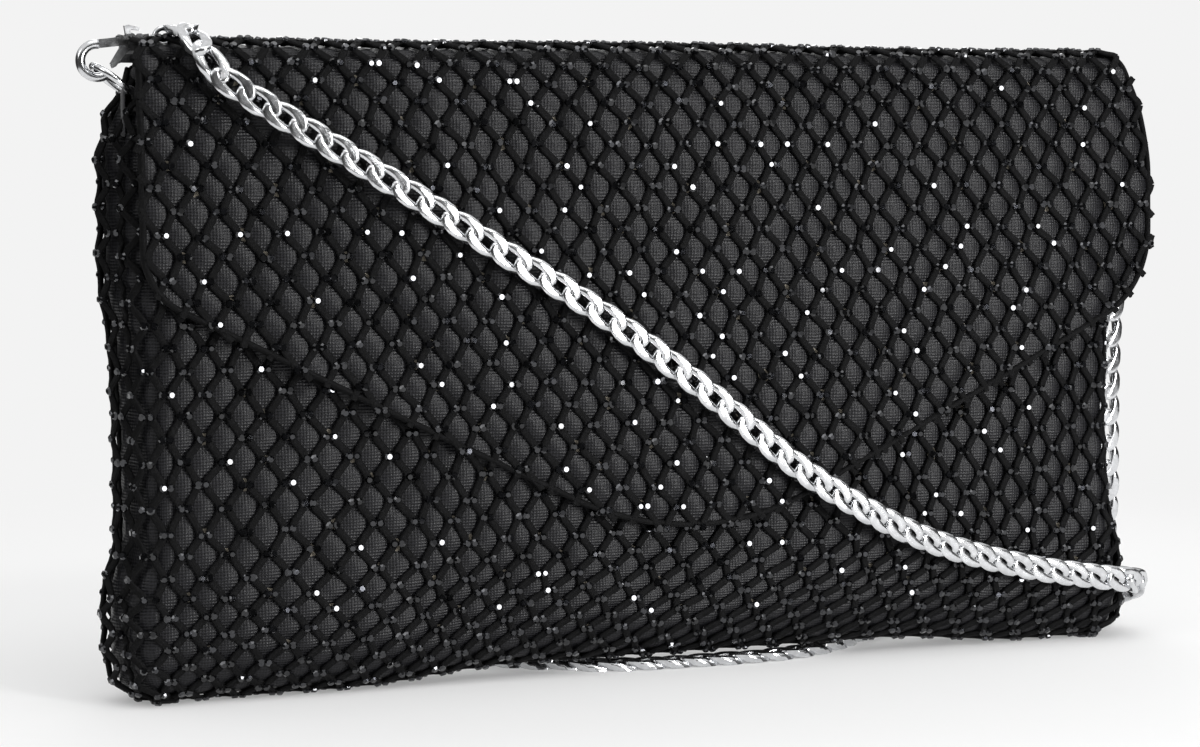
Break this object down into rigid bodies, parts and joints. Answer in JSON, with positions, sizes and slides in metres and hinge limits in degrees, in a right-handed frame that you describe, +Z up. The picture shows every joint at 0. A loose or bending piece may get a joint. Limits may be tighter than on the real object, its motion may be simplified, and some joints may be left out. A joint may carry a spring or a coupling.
{
  "type": "evening clutch bag",
  "caption": "Slim envelope evening bag with a stone-set net over satin, a fold-over flap, hidden magnets and a clip-on curb chain.",
  "frame": {"origin": "centre of the bag's footprint on the surface it stands on, chain and clasps left out", "axes": "+X along the width, the flap faces -Y, +Z up"},
  "size_m": [0.2624, 0.0588, 0.1426],
  "materials": {
    "net": "knotted nylon net set with small faceted stones",
    "satin": "fine ribbed satin",
    "hem": "rolled fabric binding",
    "lining": "plain woven lining",
    "board": "stiffening board",
    "clasp_metal": "polished",
    "chain_metal": "polished",
    "spring_steel": "drawn wire",
    "magnet": "pressed disc"
  },
  "bodies": {
    "bag": {"front_net": "net", "front_satin": "satin", "front_board": "board", "front_lining": "lining", "mouth_binding": "lining", "front_magnet": "magnet", "back_net": "net", "back_satin": "satin", "back_board": "board", "back_lining": "lining", "slip_pocket": "lining", "left_net": "net", "left_gusset": "satin", "left_lining": "lining", "right_net": "net", "right_gusset": "satin", "right_lining": "lining", "base_net": "net", "base_satin": "satin", "base_board": "board", "base_lining": "lining", "back_fold": "satin", "left_tab": "lining", "right_tab": "lining", "left_ring": "clasp_metal", "right_ring": "clasp_metal", "left_clasp": "clasp_metal", "right_clasp": "clasp_metal", "left_pin": "clasp_metal", "right_pin": "clasp_metal", "left_spring": "spring_steel", "right_spring": "spring_steel", "left_jump_ring": "clasp_metal", "right_jump_ring": "clasp_metal", "chain_front": "chain_metal", "chain_back": "chain_metal"},
    "flap_top": {"spine_net": "net", "spine_satin": "satin", "spine_board": "board", "spine_lining": "lining", "front_fold": "satin"},
    "flap": {"flap_net": "net", "flap_satin": "satin", "flap_board": "board", "flap_lining": "lining", "flap_hem": "hem", "flap_magnet": "magnet"},
    "left_trigger": {"left_trigger": "clasp_metal"},
    "right_trigger": {"right_trigger": "clasp_metal"}
  },
  "joints": [
    {"name": "back_fold_hinge", "type": "hinge", "parent": "bag", "child": "flap_top", "pos_m": [0, 0.0091, 0.1384], "axis": [-1, 0, 0], "range_deg": [0, 90], "deforming": ["back_fold"]},
    {"name": "front_fold_hinge", "type": "hinge", "parent": "flap_top", "child": "flap", "pos_m": [0, -0.0091, 0.1384], "axis": [-1, 0, 0], "range_deg": [0, 90], "deforming": ["front_fold", "chain_front"]},
    {"name": "left_trigger_hinge", "type": "hinge", "parent": "bag", "child": "left_trigger", "pos_m": [-0.12024, -0.003, 0.13905], "axis": [0, 1, 0], "range_deg": [0, 18], "stiffness_Nm_per_rad": 0.02, "springref_deg": -8.59},
    {"name": "right_trigger_hinge", "type": "hinge", "parent": "bag", "child": "right_trigger", "pos_m": [0.1266, 0.005, 0.1138], "axis": [0, 1, 0], "range_deg": [0, 18], "stiffness_Nm_per_rad": 0.02, "springref_deg": -8.59}
  ],
  "couplings": [
    {"joint": "front_fold_hinge", "follows": "back_fold_hinge", "ratio": 1}
  ]
}
